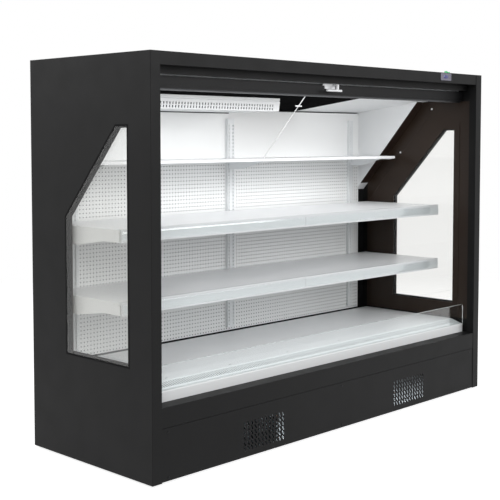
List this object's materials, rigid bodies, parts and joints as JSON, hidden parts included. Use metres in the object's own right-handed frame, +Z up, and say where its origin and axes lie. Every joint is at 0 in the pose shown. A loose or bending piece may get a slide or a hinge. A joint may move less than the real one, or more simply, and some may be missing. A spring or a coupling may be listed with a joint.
{
  "type": "open multideck display fridge",
  "caption": "Open-fronted refrigerated display cabinet with stepped shelves, glazed ends, a clear front riser and a pull-down night blind.",
  "frame": {"origin": "on the floor under the middle of the cabinet", "axes": "+X along the front to the customer's right, +Y from the open front to the back, +Z up"},
  "size_m": [1.955, 0.675, 1.4435],
  "materials": {
    "anthracite_paint": "satin powder coat",
    "inner_black": "satin powder coat",
    "white_panel": "white powder coat",
    "shelf_white": "white powder coat",
    "bumper_white": "extruded plastic, satin",
    "price_rail": "extruded plastic, satin",
    "upright_white": "white powder coat",
    "foam_liner": "moulded liner, satin",
    "zinc": "galvanised sheet",
    "aluminium": "anodised",
    "bar_black": "black anodised",
    "acrylic": "clear acrylic",
    "glazing": "clear float glass",
    "diffuser": "opal diffuser",
    "seal_rubber": "matt",
    "cloth": "coated woven blind cloth",
    "handle_white": "moulded, glossy",
    "black_plastic": "moulded, matt",
    "controller_grey": "moulded with membrane front",
    "switch_green": "translucent green, lit",
    "compressor_black": "black enamel",
    "copper": "copper tube with aluminium fins",
    "wire_white": "coated wire",
    "screw_steel": "zinc plated"
  },
  "bodies": {
    "cabinet": {"side_panel_left": "anthracite_paint", "side_panel_right": "anthracite_paint", "canopy": "anthracite_paint", "blind_cover": "anthracite_paint", "plinth_panel": "anthracite_paint", "rear_panel": "anthracite_paint", "side_cover_left": "inner_black", "side_cover_right": "inner_black", "ceiling_dark": "inner_black", "front_band": "inner_black", "ceiling_light": "white_panel", "side_lining_left": "white_panel", "side_lining_right": "white_panel", "back_panel_left": "white_panel", "back_panel_right": "white_panel", "air_outlet": "white_panel", "mid_shelf_left": "shelf_white", "mid_shelf_right": "shelf_white", "low_shelf_left": "shelf_white", "low_shelf_right": "shelf_white", "top_shelf": "shelf_white", "deck_tray_left": "shelf_white", "deck_tray_right": "shelf_white", "return_grille": "shelf_white", "uprights": "upright_white", "mid_shelf_brackets": "upright_white", "low_shelf_brackets": "upright_white", "top_shelf_brackets": "upright_white", "front_bumper": "bumper_white", "mid_price_rails": "price_rail", "low_price_rails": "price_rail", "tub": "foam_liner", "base_pan": "zinc", "fan_plate": "zinc", "fan_shroud": "zinc", "lamp_profile": "aluminium", "front_riser": "acrylic", "window_left": "glazing", "window_right": "glazing", "lamp_diffuser": "diffuser", "window_seal_left": "seal_rubber", "window_seal_right": "seal_rubber", "blind_brackets": "black_plastic", "levelling_feet": "black_plastic", "power_inlet": "black_plastic", "switch_housing": "black_plastic", "controller": "controller_grey", "compressor": "compressor_black", "condenser_coil": "copper", "evaporator_coil": "copper", "shelf_stay": "wire_white", "panel_screws": "screw_steel"},
    "blind": {"blind_bar": "bar_black", "blind_handle": "handle_white", "blind_cloth": "cloth"},
    "blind_roll": {"blind_roller": "cloth"},
    "condenser_fan": {"condenser_fan": "black_plastic"},
    "evaporator_fan_left": {"evaporator_fan_left": "black_plastic"},
    "evaporator_fan_right": {"evaporator_fan_right": "black_plastic"},
    "switch": {"switch_rocker": "switch_green"}
  },
  "joints": [
    {"name": "blind_slide", "type": "slide", "parent": "cabinet", "child": "blind", "axis": [0, 0, -1], "range_m": [0, 0.94], "deforming": ["blind_cloth"]},
    {"name": "blind_roller_spin", "type": "hinge", "parent": "cabinet", "child": "blind_roll", "pos_m": [0, -0.2315, 1.397], "axis": [1, 0, 0], "range_deg": [-2, 2250]},
    {"name": "condenser_fan_spin", "type": "hinge", "parent": "cabinet", "child": "condenser_fan", "pos_m": [-0.446, -0.2259, 0.1013], "axis": [0, 1, 0], "continuous": true},
    {"name": "evaporator_fan_left_spin", "type": "hinge", "parent": "cabinet", "child": "evaporator_fan_left", "pos_m": [-0.45, -0.1165, 0.2704], "axis": [0, 1, 0], "continuous": true},
    {"name": "evaporator_fan_right_spin", "type": "hinge", "parent": "cabinet", "child": "evaporator_fan_right", "pos_m": [0.45, -0.1165, 0.2704], "axis": [0, 1, 0], "continuous": true},
    {"name": "switch_rock", "type": "hinge", "parent": "cabinet", "child": "switch", "pos_m": [0.79, -0.2775, 1.426], "axis": [0, 1, 0], "range_deg": [-16, 0]}
  ],
  "couplings": [
    {"joint": "blind_roller_spin", "follows": "blind_slide", "rad_per_m": 41.667}
  ]
}
